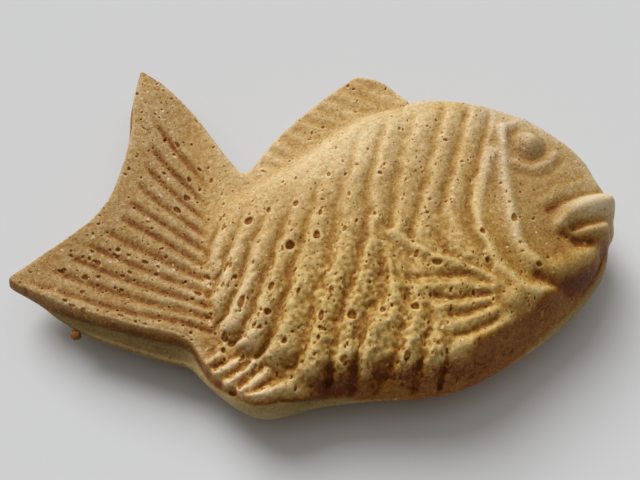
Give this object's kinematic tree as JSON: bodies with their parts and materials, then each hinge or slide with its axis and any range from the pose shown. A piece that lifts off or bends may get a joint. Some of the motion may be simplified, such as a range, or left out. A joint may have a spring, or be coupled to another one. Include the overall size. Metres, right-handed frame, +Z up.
{
  "type": "taiyaki",
  "caption": "Fish-shaped waffle cake lying on its side, with ribbed flanks, fins, lips and an eye, and a rim of pale batter around the edge where the two baked halves meet.",
  "frame": {"origin": "middle of the cake in plan, on the surface that it lies on", "axes": "+X from the tail towards the mouth, +Y towards the dorsal fin, +Z up out of the upper face"},
  "size_m": [0.151, 0.1016, 0.0295],
  "materials": {
    "crust": "golden brown baked batter, matt, with small open pores"
  },
  "bodies": {
    "root": {"taiyaki": "crust"}
  },
  "joints": []
}
